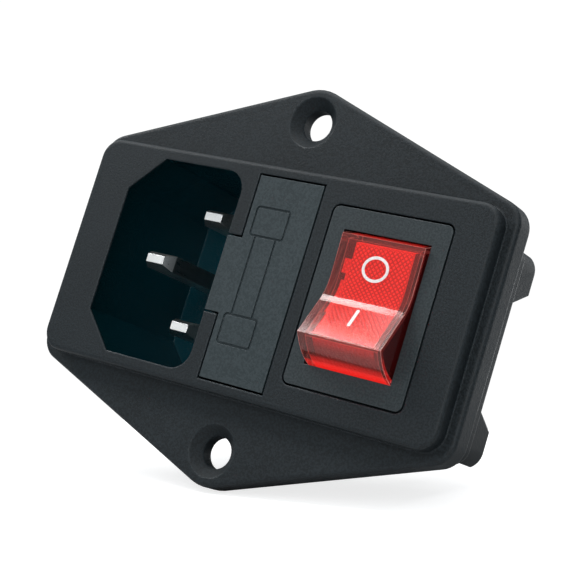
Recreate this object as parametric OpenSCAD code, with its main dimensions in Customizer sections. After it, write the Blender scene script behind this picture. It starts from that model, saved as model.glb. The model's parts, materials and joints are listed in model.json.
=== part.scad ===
/* [Flange] */
// Width of the flange between its two short upright edges
flange_w = 58.8; // [58:0.2:64]
// Height of the flange between its two pointed ends, before they are rounded
flange_h = 49; // [48:0.5:56]
// Height of each short upright edge, before its corners are rounded
flange_side_h = 28; // [27.5:0.5:32]
// Thickness of the flange
flange_t = 2.8; // [2.2:0.1:4]
// Corner radius at the four ends of the upright edges
flange_r = 3; // [1:0.2:5]
// Corner radius at the two pointed ends
flange_tip_r = 5; // [2:0.5:8]
// Rounding of the front edges of the flange and of the bezel
edge_r = 0.5; // [0.2:0.1:0.8]
// Distance between the two panel screws
screw_pitch = 40; // [38:0.5:41]
// Diameter of each screw's through hole
screw_d = 3.8; // [3:0.1:4.2]
// Diameter of each countersink at the flange's face
csk_d = 6.3; // [5.6:0.1:7.2]

/* [Bezel] */
// Width of the raised bezel
bezel_w = 56; // [55.6:0.2:57.6]
// Height of the raised bezel
bezel_h = 27.4; // [27.2:0.2:28]
// How far the bezel stands out from the flange
bezel_out = 2; // [1.4:0.1:3]
// Corner radius of the bezel
bezel_r = 2.5; // [1:0.1:4]

/* [Body behind the flange] */
// Width of the body that goes through the panel
body_w = 46.8; // [46.6:0.1:48]
// Height of the body that goes through the panel
body_h = 27.2; // [27:0.1:28]
// Depth of the body's rear rim behind the flange
body_d = 13.4; // [12.2:0.1:14.8]
// Thickness of the outer walls round the switch room
wall = 1.3; // [1:0.1:1.8]
// Corner radius of the body
body_r = 2.4; // [0.8:0.1:3]
// How far the two corner posts stand behind the rear rim
post_d = 4; // [2.4:0.1:5]
// Height of the notch between the two corner posts, at the rim
notch_h = 12.9; // [10:0.1:15]
// Slope of the notch's two sides
notch_side = 2; // [1:0.1:3]
// How far the posts stand in from the body's outline
post_inset = 0.2; // [0.1:0.1:0.8]
// Radius of each post's rear outer corner
post_r = 0.6; // [0.3:0.1:2]

/* [Inlet] */
// Centre of the inlet cavity, measured from the middle of the flange
inlet_x = -13.8; // [-14:0.1:-13.8]
// Width of the inlet cavity
inlet_w = 16.7; // [16.5:0.1:16.9]
// Height of the inlet cavity
inlet_h = 24.4; // [24:0.1:24.6]
// Depth of the inlet cavity from the bezel's face
inlet_d = 18; // [16:0.1:18.6]
// Size of the two cut corners on the earth side
inlet_cut = 4.4; // [3.5:0.1:5]
// Radius of the two corners on the other side
inlet_r = 2.6; // [1:0.1:3.5]
// Thickness of the wall that holds the pins
pin_wall = 2.2; // [1.6:0.1:3]

/* [Inlet pins] */
// Width of a pin
pin_w = 4; // [3.8:0.1:4.2]
// Thickness of a pin
pin_t = 2; // [1.8:0.1:2.2]
// Distance between the line pin and the neutral pin
pin_pitch = 14; // [13.6:0.1:14.4]
// Distance of the line and neutral pins from the cavity's centre
pin_x = 2.5; // [2.2:0.1:2.8]
// Distance of the earth pin from the row of the other two pins
earth_offset = 4; // [3.8:0.1:4.4]
// Depth of the line and neutral tips below the bezel's face
pin_tip = 4; // [3:0.1:5]
// Depth of the earth tip below the bezel's face
earth_tip = 0.7; // [0.4:0.1:1.5]
// Length of the bevels at a pin's tip
pin_bevel = 1.5; // [0.6:0.1:2]
// Width of a rear tab
tab_w = 4.8; // [4.2:0.1:5.2]
// Thickness of a rear tab and of the metal straps
tab_t = 0.8; // [0.5:0.1:1]
// Depth of the rear tabs' ends behind the flange
tab_end = 23; // [21.5:0.1:28]
// Diameter of the hole through each rear tab
tab_hole_d = 1.6; // [1:0.1:2]

/* [Fuse drawer] */
// Centre of the drawer's face, measured from the middle of the flange
drawer_x = 1.1; // [1:0.1:1.3]
// Width of the drawer's face
drawer_w = 8.9; // [8.7:0.1:9.1]
// Height of the drawer's face
drawer_h = 24.5; // [24.4:0.1:24.9]
// Thickness of the drawer's face
drawer_face = 1.8; // [1.2:0.1:2.2]
// Gap round the drawer's face
drawer_gap = 0.25; // [0.2:0.05:0.4]
// Height of the pull that reaches to the inlet cavity
pull_h = 9.1; // [7:0.1:12]
// Depth of the pull
pull_d = 4.4; // [3:0.1:5]
// Length of the drawer from its face to its rear ends
drawer_len = 17.2; // [16.4:0.1:18.4]
// Thickness of the bay's rear wall
bay_wall = 1.4; // [1:0.1:2]
// Width of the fine grooves that draw the fuse symbol
groove_w = 0.28; // [0.2:0.01:0.36]
// Depth of the fine grooves
groove_d = 0.2; // [0.1:0.01:0.4]

/* [Fuses] */
// Diameter of a fuse's end caps
fuse_d = 5.2; // [4.8:0.05:5.3]
// Length of a fuse
fuse_len = 20; // [19:0.1:20.4]
// Length of a fuse's end cap
fuse_cap = 5; // [4:0.1:6]
// Clearance round a fuse in its chamber
fuse_gap = 0.2; // [0.1:0.05:0.3]

/* [Switch] */
// Centre of the switch, measured from the middle of the flange
switch_x = 15.4; // [15.3:0.1:15.6]
// Width of the switch's frame
frame_w = 15.36; // [14.9:0.02:15.4]
// Height of the switch's frame
frame_h = 20.8; // [20.4:0.1:21.4]
// Thickness of the switch's frame
frame_t = 1.6; // [1.2:0.1:2]
// Corner radius of the frame
frame_r = 0.8; // [0.6:0.1:2.5]
// Width of the switch's body behind its frame
case_w = 12.9; // [12.8:0.05:13.2]
// Height of the switch's body behind its frame
case_h = 19; // [18.8:0.1:19.4]
// Depth of the switch's body from the bezel's face
case_d = 15; // [14.9:0.1:16]
// Thickness of the switch's floor
case_floor = 1.2; // [0.8:0.1:1.4]
// Width of the opening that the rocker moves in
well_w = 11.3; // [11.2:0.05:11.5]
// Gap round the frame and round the rocker
switch_gap = 0.25; // [0.2:0.05:0.35]

/* [Rocker] */
// Depth of the rocker's pivot below the bezel's face
pivot_d = 2.95; // [2.7:0.05:3.2]
// Radius of the rocker's rounded ends about its pivot
rocker_r = 8.15; // [7.8:0.05:8.2]
// Tilt of the rocker to each side
rocker_tilt = 14; // [10:0.5:15]
// Slope of the rocker's two faces
face_slope = 16; // [8:0.5:18]
// Height of the crease between the faces above the pivot
crease_h = 3.36; // [3:0.02:4]
// Radius in the crease
crease_r = 6; // [2:0.5:10]
// Depth of the rocker's skirt below its pivot
skirt = 1.6; // [1.4:0.1:2]
// Wall of the clear cap at its sides and ends
cap_wall = 0.7; // [0.6:0.05:0.8]
// Thickness of the clear cap over the red reflector
cap_top = 0.8; // [0.5:0.05:1]
// Radius of the rocker's two pivot pins
trunnion_r = 1.15; // [0.8:0.05:1.2]
// Running clearance of the pivot pins in their holes
trunnion_fit = 0.05; // [0.03:0.01:0.08]
// Distance of the plunger's tip from the pivot
plunger_len = 7.2; // [6.8:0.1:7.3]
// Radius of the plunger
plunger_r = 0.9; // [0.6:0.05:1]

/* [Switch contacts] */
// Half length of the contact lever
lever_half = 5.6; // [5:0.1:6]
// Width of the contact lever
lever_w = 4; // [3:0.1:4.4]
// Thickness of the contact lever
lever_t = 0.6; // [0.4:0.05:0.8]
// Tilt of the contact lever to each side
lever_tilt = 10; // [8:0.5:11]
// Distance of the moving contact from the lever's pivot
contact_z = 5; // [4.4:0.1:5]
// Radius of the contact rivets
contact_r = 1; // [0.7:0.05:1.1]
// Distance between neighbouring switch terminals
terminal_pitch = 6.9; // [6.6:0.1:7.1]
// Length of the switch terminals behind the switch's body
terminal_len = 8; // [6:0.1:8.5]

/* [Hidden] */
$fn = 48;
eps = 0.01;

black_plastic = [0.13, 0.15, 0.155];
dark_plastic = [0.08, 0.09, 0.095];
tin = [0.82, 0.82, 0.8];
brass = [0.78, 0.62, 0.33];
clear_red = [0.85, 0.12, 0.1, 0.5];
bright_red = [0.93, 0.16, 0.12];
clear_glass = [0.85, 0.9, 0.92, 0.4];

// Depth runs along +Y, with 0 at the flange's back face
front_y = -(flange_t + bezel_out);
inlet_back_y = front_y + inlet_d + pin_wall;
strap_gap = 0.2;
bay_floor_y = inlet_back_y + tab_t + strap_gap;
bay_back_y = bay_floor_y + bay_wall;
case_back_y = front_y + case_d;
case_floor_y = case_back_y - case_floor;
pivot_y = front_y + pivot_d;
frame_back_y = front_y + frame_t;

pins_x = inlet_x + pin_x;
earth_x = pins_x - earth_offset;
inlet_right = inlet_x + inlet_w / 2;

// The bay round the drawer, and the carriage behind the drawer's face
bay_w = drawer_w + 2 * drawer_gap;
bay_h = drawer_h + 2 * drawer_gap;
bay_left = drawer_x - bay_w / 2;
bay_right = drawer_x + bay_w / 2;
carriage_inset = 0.3;
carriage_x0 = drawer_x - drawer_w / 2 + carriage_inset;
carriage_w = drawer_w - 2 * carriage_inset;
carriage_h = drawer_h - 2 * carriage_inset;
carriage_y0 = front_y + drawer_face;
carriage_floor = 1.1;
chamber_h = fuse_len + 2 * fuse_gap;
chamber_d = fuse_d + 2 * fuse_gap;
divider_t = 1;
fuse_x = carriage_x0 + carriage_floor + fuse_gap / 2 + fuse_d / 2;
spare_y = carriage_y0 + chamber_d / 2;
work_y = spare_y + chamber_d + divider_t;
lip_h = 1.2;

// The springs that press on the working fuse from behind
clip_gap = 0.3;
clip_y0 = work_y + fuse_d / 2 + clip_gap;
strap_y = inlet_back_y;
clip_r = (strap_y + tab_t - clip_y0) / 2;
clip_t = 0.4;
clip_w = 3;
clip_foot = 0.35 * clip_r;
clip_z = fuse_len / 2 - fuse_cap / 2;

// The room for the switch behind the front plate
room_x0 = bay_right + wall;
room_x1 = body_w / 2 - wall;
room_h = body_h - 2 * wall;
well_r = rocker_r + switch_gap;
rocker_w = well_w - 2 * (switch_gap + 0.05);
trunnion_len = (case_w - rocker_w) / 2 - 0.1;

// The lever rocks on the rounded top of the common terminal
knife_r = tab_t / 2;
lever_top_y = pivot_y + plunger_len + 0.2;
lever_bottom_y = lever_top_y + lever_t;
knife_gap = 0.05;
knife_y = lever_bottom_y + knife_gap + knife_r;
rivet_h = 0.5;
touch_gap = 0.12;
reach = contact_z + contact_r;
closed_y = knife_y + reach * sin(lever_tilt)
    + (rivet_h - knife_gap - knife_r) * cos(lever_tilt);
terminal_end = case_back_y + terminal_len;

// Places a flat outline drawn in X and Z so that it fills the depths from y0 to y1
module slab(y0, y1) {
    translate([0, y1, 0]) rotate([90, 0, 0]) linear_extrude(y1 - y0) children();
}

// Places an outline drawn in Y and Z so that it fills the widths from x0 to x1
module across(x0, x1) {
    translate([x0, 0, 0]) rotate([90, 0, 90]) linear_extrude(x1 - x0) children();
}

// A box between two corners
module block(low, high) {
    translate(low) cube(high - low);
}

// A flat rectangle with round corners, centred
module round_rect(w, h, r) {
    square([w - 2 * r, h], center = true);
    square([w, h - 2 * r], center = true);
    for (sx = [-1, 1], sz = [-1, 1])
        translate([sx * (w / 2 - r), sz * (h / 2 - r)]) circle(r);
}

// A plate with rounded front edges: corners holds one [x, z, radius] per corner
module soft_plate(corners, y0, y1) {
    steps = 4;
    hull() for (k = [0:steps]) let (a = 90 * k / steps)
        slab(y0 + edge_r * (1 - sin(a)), y1) for (c = corners)
            translate([c[0], c[1]]) circle(c[2] - edge_r * (1 - sin(90 - a)), $fn = 40);
}

flange_rise = atan((flange_h - flange_side_h) / flange_w);
flange_corners = concat(
    [for (sx = [-1, 1], sz = [-1, 1]) [
        sx * (flange_w / 2 - flange_r),
        sz * (flange_side_h / 2 - flange_r * tan(45 - flange_rise / 2)),
        flange_r]],
    [for (sz = [-1, 1]) [0, sz * (flange_h / 2 - flange_tip_r / cos(flange_rise)), flange_tip_r]]);
bezel_corners = [for (sx = [-1, 1], sz = [-1, 1])
    [sx * (bezel_w / 2 - bezel_r), sz * (bezel_h / 2 - bezel_r), bezel_r]];

// The cavity's outline, with cut corners on the earth side
module inlet_outline() {
    x0 = -inlet_w / 2;
    x1 = inlet_w / 2;
    z1 = inlet_h / 2;
    translate([inlet_x, 0]) {
        polygon([[x0, -z1 + inlet_cut], [x0 + inlet_cut, -z1], [x1 - inlet_r, -z1],
            [x1 - inlet_r, z1], [x0 + inlet_cut, z1], [x0, z1 - inlet_cut]]);
        translate([0, -z1 + inlet_r]) square([x1, 2 * (z1 - inlet_r)]);
        for (sz = [-1, 1]) translate([x1 - inlet_r, sz * (z1 - inlet_r)]) circle(inlet_r);
    }
}

// One corner post in Y and Z, with its sloped notch side and its rounded outer corner
module post_outline() {
    z0 = notch_h / 2;
    z1 = body_h / 2 - post_inset;
    polygon([[-wall, z0], [0, z0], [post_d, z0 + notch_side], [post_d, z1 - post_r],
        [post_d - post_r, z1], [-wall, z1]]);
    translate([post_d - post_r, z1 - post_r]) circle(post_r);
}

module screw_hole(z) {
    translate([0, 0, z]) rotate([90, 0, 0]) {
        translate([0, 0, -eps]) cylinder(d = screw_d, h = flange_t + 2 * eps);
        translate([0, 0, flange_t - (csk_d - screw_d) / 2])
            cylinder(d1 = screw_d, d2 = csk_d, h = (csk_d - screw_d) / 2);
        translate([0, 0, flange_t]) cylinder(d = csk_d, h = eps);
    }
}

module pin_slots() {
    for (p = [[pins_x, pin_pitch / 2], [pins_x, -pin_pitch / 2], [earth_x, 0]])
        block([p[0] - pin_w / 2, 0, p[1] - pin_t / 2],
            [p[0] + pin_w / 2, inlet_back_y + eps, p[1] + pin_t / 2]);
}

module housing() color(black_plastic) difference() {
    union() {
        soft_plate(flange_corners, -flange_t, 0);
        soft_plate(bezel_corners, front_y, -flange_t / 2);
        slab(-eps, body_d) round_rect(body_w, body_h, body_r);
        slab(body_d - eps, inlet_back_y) intersection() {
            round_rect(body_w, body_h, body_r);
            translate([-body_w, -body_h]) square([body_w + bay_left, 2 * body_h]);
        }
        block([bay_left - wall, body_d - eps, -bay_h / 2 - wall / 2],
            [bay_right + wall, bay_back_y, bay_h / 2 + wall / 2]);
        intersection() {
            across(body_w / 2 - wall, body_w / 2 - post_inset) for (s = [-1, 1])
                scale([1, s]) translate([body_d, 0]) post_outline();
            slab(0, body_d + post_d + eps)
                round_rect(body_w - 2 * post_inset, body_h - 2 * post_inset, body_r);
        }
    }
    for (s = [-1, 1]) screw_hole(s * screw_pitch / 2);
    slab(front_y - 1, inlet_back_y - pin_wall) inlet_outline();
    pin_slots();
    block([bay_left, front_y - 1, -bay_h / 2], [bay_right, bay_floor_y, bay_h / 2]);
    block([inlet_right - 1, front_y - 1, -pull_h / 2 - drawer_gap],
        [bay_left + 1, front_y + pull_d + drawer_gap, pull_h / 2 + drawer_gap]);
    strap_slots();
    slab(front_y - 1, frame_back_y) translate([switch_x, 0])
        round_rect(frame_w + 2 * switch_gap, frame_h + 2 * switch_gap, frame_r + switch_gap);
    block([switch_x - case_w / 2 - 0.15, front_y, -case_h / 2 - 0.15],
        [switch_x + case_w / 2 + 0.15, body_d, case_h / 2 + 0.15]);
    block([room_x0, 0, -room_h / 2], [room_x1, body_d + post_d + 1, room_h / 2]);
}

// The slots that let the line strap into the bay and the fuse tab out of it
module strap_slots() {
    block([bay_left - wall - 1, strap_y, clip_z - clip_w / 2],
        [bay_left + 1, strap_y + tab_t, clip_z + clip_w / 2]);
    block([fuse_x - tab_w / 2, bay_floor_y - 1, -clip_z - tab_t / 2],
        [fuse_x + tab_w / 2, bay_back_y + 1, -clip_z + tab_t / 2]);
}

// A flat pin with bevels on all four sides of its tip
module blade_pin(x, z, tip_y, end_y) translate([x, 0, z]) intersection() {
    linear_extrude(pin_t, center = true) polygon([
        [-pin_w / 2 + pin_bevel / 2, tip_y], [pin_w / 2 - pin_bevel / 2, tip_y],
        [pin_w / 2, tip_y + pin_bevel], [pin_w / 2, end_y],
        [-pin_w / 2, end_y], [-pin_w / 2, tip_y + pin_bevel]]);
    across(-pin_w / 2, pin_w / 2) polygon([
        [tip_y, -pin_t / 4], [tip_y + pin_bevel, -pin_t / 2], [end_y, -pin_t / 2],
        [end_y, pin_t / 2], [tip_y + pin_bevel, pin_t / 2], [tip_y, pin_t / 4]]);
}

// A flat tab along +Y with cut corners at its end and a hole through it
module tab(x, z, y0, y1) translate([x, 0, z]) difference() {
    cut = tab_w / 5;
    linear_extrude(tab_t, center = true) polygon([
        [-tab_w / 2, y0], [tab_w / 2, y0], [tab_w / 2, y1 - cut],
        [tab_w / 2 - cut, y1], [-tab_w / 2 + cut, y1], [-tab_w / 2, y1 - cut]]);
    translate([0, y1 - tab_w * 0.7, 0])
        cylinder(d = tab_hole_d, h = 2 * tab_t, center = true);
}

// A bent leaf that presses on the fuse's cap from behind
module fuse_spring(z) translate([fuse_x, 0, z - clip_w / 2]) linear_extrude(clip_w) {
    translate([0, clip_y0 + clip_r]) difference() {
        circle(clip_r);
        circle(clip_r - clip_t);
        translate([-2 * clip_r, -2 * clip_r]) square([2 * clip_r - clip_foot, 3 * clip_r - tab_t]);
        translate([-2 * clip_r, -clip_r / 2]) square([2 * clip_r, 1.5 * clip_r - tab_t]);
    }
}

module line_pin() color(tin) {
    z = pin_pitch / 2;
    blade_pin(pins_x, z, front_y + pin_tip, strap_y + eps);
    block([pins_x - pin_w / 2, strap_y, z - pin_t / 2],
        [pins_x + pin_w / 2, strap_y + tab_t, z + pin_t / 2]);
    block([pins_x, strap_y, clip_z - clip_w / 2],
        [fuse_x, strap_y + tab_t, clip_z + clip_w / 2]);
    fuse_spring(clip_z);
}

module neutral_pin() color(tin) {
    blade_pin(pins_x, -pin_pitch / 2, front_y + pin_tip, inlet_back_y);
    tab(pins_x, -pin_pitch / 2, inlet_back_y - eps, tab_end);
}

module earth_pin() color(tin) {
    blade_pin(earth_x, 0, front_y + earth_tip, inlet_back_y);
    tab(earth_x, 0, inlet_back_y - eps, tab_end);
}

module fuse_contact() color(tin) {
    fuse_spring(-clip_z);
    block([fuse_x - tab_w / 2, bay_floor_y - tab_t, -clip_z - clip_w / 2],
        [fuse_x + tab_w / 2, bay_floor_y, -clip_z + clip_w / 2]);
    block([fuse_x - clip_t, strap_y, -clip_z - clip_w / 2],
        [fuse_x + clip_t, bay_floor_y, -clip_z + clip_w / 2]);
    tab(fuse_x, -clip_z, bay_floor_y - eps, tab_end);
}

// The frame and the body of the switch, one moulding
module switch_case() color(dark_plastic) translate([switch_x, 0, 0]) difference() {
    union() {
        slab(front_y, frame_back_y) round_rect(frame_w, frame_h, frame_r);
        block([-case_w / 2, frame_back_y - eps, -case_h / 2], [case_w / 2, case_back_y, case_h / 2]);
        for (s = [-1, 1]) across(-2.5, 2.5) scale([1, s])
            polygon([[0.15, case_h / 2 - eps], [0.15, case_h / 2 + 0.9],
                [4.2, case_h / 2 - eps]]);
    }
    translate([0, pivot_y, 0]) rotate([0, 90, 0]) {
        cylinder(r = well_r, h = well_w, center = true, $fn = 96);
        cylinder(r = trunnion_r + trunnion_fit, h = case_w + 1, center = true);
    }
    block([-well_w / 2, pivot_y, -case_h / 2 + 1.1], [well_w / 2, case_floor_y, case_h / 2 - 1.1]);
    for (k = [-1:1]) block([-tab_w / 2, case_floor_y - 1, k * terminal_pitch - tab_t / 2],
        [tab_w / 2, case_back_y + 1, k * terminal_pitch + tab_t / 2]);
}

// The centre terminal, whose rounded top carries the lever between two ears
module common_terminal() color(brass) translate([switch_x, 0, 0]) {
    ear = 0.6;
    ear_x = lever_w / 2 + 0.2;
    block([-tab_w / 2, knife_y, -tab_t / 2], [tab_w / 2, case_floor_y + eps, tab_t / 2]);
    translate([0, knife_y, 0]) rotate([0, 90, 0]) cylinder(r = knife_r, h = tab_w, center = true);
    for (s = [-1, 1]) scale([s, 1, 1])
        block([ear_x, lever_top_y - 0.4, -tab_t / 2], [ear_x + ear, knife_y + 1.2, tab_t / 2]);
    tab(0, 0, case_floor_y, terminal_end);
}

// The upper terminal, with the foot that carries the fixed contact
module load_terminal() color(brass) translate([switch_x, 0, 0]) {
    block([-tab_w / 2, case_floor_y - rivet_h, contact_z - contact_r],
        [tab_w / 2, case_floor_y, terminal_pitch + tab_t / 2]);
    tab(0, terminal_pitch, case_floor_y - eps, terminal_end);
}

// The lower terminal, with a leaf that the lamp's lead meets when the switch is on
module lamp_terminal() color(brass) translate([switch_x, 0, 0]) {
    leaf_y = pivot_y + rocker_r * sin(rocker_tilt) + skirt * cos(rocker_tilt) + 0.6;
    block([-tab_w / 4, leaf_y, -terminal_pitch - tab_t / 2],
        [tab_w / 4, case_floor_y, -terminal_pitch + tab_t / 2]);
    tab(0, -terminal_pitch, case_floor_y - eps, terminal_end);
}

module fixed_contact() color(tin) translate([switch_x, 0, contact_z]) rotate([-90, 0, 0])
    translate([0, 0, closed_y + touch_gap])
        cylinder(r = contact_r, h = case_floor_y - rivet_h - closed_y - touch_gap);

// Puts what is drawn about the lever's pivot at its place, tilted as in the off position
module at_lever() {
    translate([switch_x, knife_y, 0]) rotate([lever_tilt, 0, 0]) children();
}

module contact_lever() color(brass) at_lever()
    block([-lever_w / 2, lever_top_y - knife_y, -lever_half],
        [lever_w / 2, lever_bottom_y - knife_y, lever_half]);

module moving_contact() color(tin) at_lever()
    translate([0, lever_bottom_y - knife_y, contact_z]) rotate([-90, 0, 0])
        cylinder(r = contact_r, h = rivet_h);

// Puts what is drawn about the rocker's pivot at its place, with the upper end pressed in
module at_rocker() {
    translate([switch_x, pivot_y, 0]) rotate([-rocker_tilt, 0, 0]) children();
}

// The rocker's side outline in Y and Z about its pivot: r is the radius of its ends,
// and drop is how far its two faces lie below the outer ones
module rocker_outline(r, drop) intersection() {
    arc_steps = 6;
    far = 2 * r;
    top = crease_h - drop;
    centre = top + crease_r / cos(face_slope);
    circle(r, $fn = 96);
    polygon(concat(
        [[skirt, -far], [-top - far * tan(face_slope), -far]],
        [for (k = [-arc_steps:arc_steps]) let (a = face_slope * k / arc_steps)
            [-centre + crease_r * cos(a), crease_r * sin(a)]],
        [[-top - far * tan(face_slope), far], [skirt, far]]));
}

module rocker_cap() color(clear_red) at_rocker() difference() {
    union() {
        across(-rocker_w / 2, rocker_w / 2) rocker_outline(rocker_r, 0);
        rotate([0, 90, 0]) cylinder(r = trunnion_r, h = rocker_w + 2 * trunnion_len, center = true);
    }
    across(-rocker_w / 2 + cap_wall, rocker_w / 2 - cap_wall) union() {
        rocker_outline(rocker_r - cap_wall, cap_top);
        translate([skirt - 1, -rocker_r + cap_wall]) square([2, 2 * (rocker_r - cap_wall)]);
    }
}

// The reflector's top, ends and side steps lie this far inside the clear cap
reflector_gap = 0.2;
reflector_end_gap = 0.3;
reflector_side_gap = 0.1;
reflector_wall = 0.9;
reflector_tab = 0.6;
reflector_ledge = 0.35;
reflector_notch = 0.3;
reflector_w = rocker_w - 2 * (cap_wall + reflector_side_gap + reflector_tab);
reflector_r = rocker_r - cap_wall - reflector_end_gap;
reflector_in_r = reflector_r - reflector_wall;
guide_r = plunger_r + 0.4;
guide_top = -crease_h + cap_top + reflector_gap + reflector_wall / 2;
guide_seat = 1;
guide_len = plunger_len / 2 - guide_top;

// Heights of the reflector's side steps above its crease
tab_low = 2.4;
tab_high = 4;
ledge_low = -2.9;
ledge_high = 1.6;

// The reflector's outline from the front, set back at its upper left corner
module reflector_front() {
    far = 2 * reflector_r;
    difference() {
        square([reflector_w, far], center = true);
        translate([-reflector_w / 2 - 1, tab_low]) square([1 + reflector_notch, far]);
    }
}

// The tab and the ledge on its left side, which keep it centred in the cap
module reflector_steps() {
    translate([-reflector_w / 2 - reflector_tab, tab_low])
        square([reflector_tab + 2 * reflector_notch, tab_high - tab_low]);
    translate([-reflector_w / 2 - reflector_ledge, ledge_low])
        square([reflector_ledge + reflector_notch, ledge_high - ledge_low]);
}

// The red piece under the clear cap, with the tube that guides the plunger
module rocker_reflector() color(bright_red) at_rocker() {
    difference() {
        intersection() {
            across(-reflector_w / 2 - reflector_tab, reflector_w / 2)
                rocker_outline(reflector_r, cap_top + reflector_gap);
            union() {
                slab(-2 * rocker_r, 2 * rocker_r) reflector_front();
                slab(-2 * rocker_r, 0) reflector_steps();
            }
        }
        across(-reflector_w / 2 + reflector_wall, reflector_w / 2 - reflector_wall) union() {
            rocker_outline(reflector_in_r, cap_top + reflector_gap + reflector_wall);
            translate([skirt - 1, -reflector_in_r]) square([2, 2 * reflector_in_r]);
        }
    }
    rotate([-90, 0, 0]) translate([0, 0, guide_top]) difference() {
        cylinder(r = guide_r + 0.6, h = guide_len);
        translate([0, 0, guide_seat]) cylinder(r = guide_r, h = guide_len);
    }
}

// The lamp and its resistor lie inside the reflector's walls, past the leads on one side
lamp_r = 1.3;
lamp_z = 3.9;
lamp_y = -0.7;
lamp_gap = 0.2;
lead_r = 0.2;
resistor_r = 0.9;
lamp_room = reflector_w / 2 - reflector_wall - lamp_gap;
lead_x = -lamp_room + lead_r;
lamp_x0 = lead_x + 2 * lead_r;

module neon_lamp() color(clear_glass) at_rocker() translate([lamp_x0, lamp_y, lamp_z])
    rotate([0, 90, 0]) {
        cylinder(r = lamp_r, h = lamp_room - lamp_x0 - lamp_r);
        translate([0, 0, lamp_room - lamp_x0 - lamp_r]) sphere(r = lamp_r);
    }

module lamp_resistor() color([0.75, 0.62, 0.45]) at_rocker() translate([lamp_x0, lamp_y, -lamp_z])
    rotate([0, 90, 0]) cylinder(r = resistor_r, h = -2 * lamp_x0);

module lamp_leads() color(tin) at_rocker() {
    translate([lead_x, lamp_y, -lamp_z]) cylinder(r = lead_r, h = 2 * lamp_z);
    for (s = [-1, 1]) translate([lead_x - lead_r, lamp_y, s * lamp_z]) rotate([0, 90, 0])
        cylinder(r = lead_r, h = lamp_x0 - lead_x + lead_r);
}

module plunger() color(tin) at_rocker() rotate([-90, 0, 0]) {
    translate([0, 0, skirt]) cylinder(r = plunger_r, h = plunger_len - skirt - plunger_r);
    translate([0, 0, plunger_len - plunger_r]) sphere(r = plunger_r);
    translate([0, 0, skirt]) cylinder(r = guide_r - 0.05, h = plunger_r);
}

// A coil spring as a swept ring of sides, turning about +Z
module coil(r, wire, height, turns) {
    sides = 6;
    per_turn = 16;
    n = turns * per_turn;
    points = [for (i = [0:n], j = [0:sides - 1])
        let (a = 360 * i / per_turn, b = 360 * j / sides, q = r + wire * cos(b))
            [q * cos(a), q * sin(a), height * i / n + wire * sin(b)]];
    faces = concat([[for (j = [0:sides - 1]) j]],
        [for (i = [0:n - 1], j = [0:sides - 1]) let (k = (j + 1) % sides)
            [i * sides + j, (i + 1) * sides + j, (i + 1) * sides + k, i * sides + k]],
        [[for (j = [0:sides - 1]) n * sides + sides - 1 - j]]);
    polyhedron(points, faces);
}

module plunger_spring() color(tin) at_rocker() rotate([-90, 0, 0]) {
    wire = 0.15;
    top = guide_top + guide_seat + wire;
    translate([0, 0, top]) coil(guide_r - 2 * wire - 0.1, wire, skirt - top - wire, 4);
}

// The fuse drawer: face, pull, floor, end walls, and the divider between its two chambers
module fuse_drawer() color(black_plastic) difference() {
    union() {
        block([drawer_x - drawer_w / 2, front_y, -drawer_h / 2],
            [drawer_x + drawer_w / 2, carriage_y0, drawer_h / 2]);
        block([inlet_right, front_y, -pull_h / 2],
            [drawer_x, front_y + drawer_face, pull_h / 2]);
        block([inlet_right, front_y, -pull_h / 2],
            [bay_left - drawer_gap, front_y + pull_d, pull_h / 2]);
        block([carriage_x0, front_y + 1, -carriage_h / 2],
            [carriage_x0 + carriage_w, front_y + drawer_len, carriage_h / 2]);
    }
    for (y = [spare_y, work_y]) block(
        [carriage_x0 + carriage_floor, y - chamber_d / 2, -chamber_h / 2],
        [carriage_x0 + carriage_w + 1, y + chamber_d / 2, chamber_h / 2]);
    block([carriage_x0 + carriage_floor + lip_h, work_y, -chamber_h / 2],
        [carriage_x0 + carriage_w + 1, front_y + drawer_len + 1, chamber_h / 2]);
    block([carriage_x0 - 1, work_y + chamber_d / 2 + 0.8, -chamber_h / 2],
        [carriage_x0 + carriage_w + 1, front_y + drawer_len + 1, chamber_h / 2]);
    fuse_symbol();
}

symbol_x = -0.15;
symbol_up = 0.32;
symbol_box = [4.9, 3.75];
symbol_z = 6.5;
symbol_line_gap = 2.9;

// A fuse symbol in fine grooves: two end boxes joined by two lines
module fuse_symbol() slab(front_y - 1, front_y + groove_d) translate([symbol_x, symbol_up]) {
    for (s = [-1, 1]) translate([0, s * symbol_z]) difference() {
        round_rect(symbol_box[0], symbol_box[1], 0.5);
        round_rect(symbol_box[0] - 2 * groove_w, symbol_box[1] - 2 * groove_w, 0.5 - groove_w);
    }
    for (s = [-1, 1]) translate([s * symbol_line_gap / 2, 0])
        square([groove_w, 2 * symbol_z - symbol_box[1] + groove_w], center = true);
}

glass_r = fuse_d / 2 - 0.25;

module glass_tube(y) color(clear_glass) translate([fuse_x, y, 0]) difference() {
    cylinder(r = glass_r, h = fuse_len - 1.2, center = true);
    cylinder(r = glass_r - 0.45, h = fuse_len, center = true);
}

module cap_pair(y) color(tin) for (s = [-1, 1])
    translate([fuse_x, y, 0]) rotate([90 - 90 * s, 0, 0]) difference() {
        translate([0, 0, fuse_len / 2 - fuse_cap]) cylinder(d = fuse_d, h = fuse_cap);
        cylinder(r = glass_r + 0.03, h = fuse_len / 2 - 0.5);
    }

module melt_wire(y) color(tin) translate([fuse_x, y, 0])
    cylinder(r = 0.12, h = fuse_len - 1, center = true);

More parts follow.
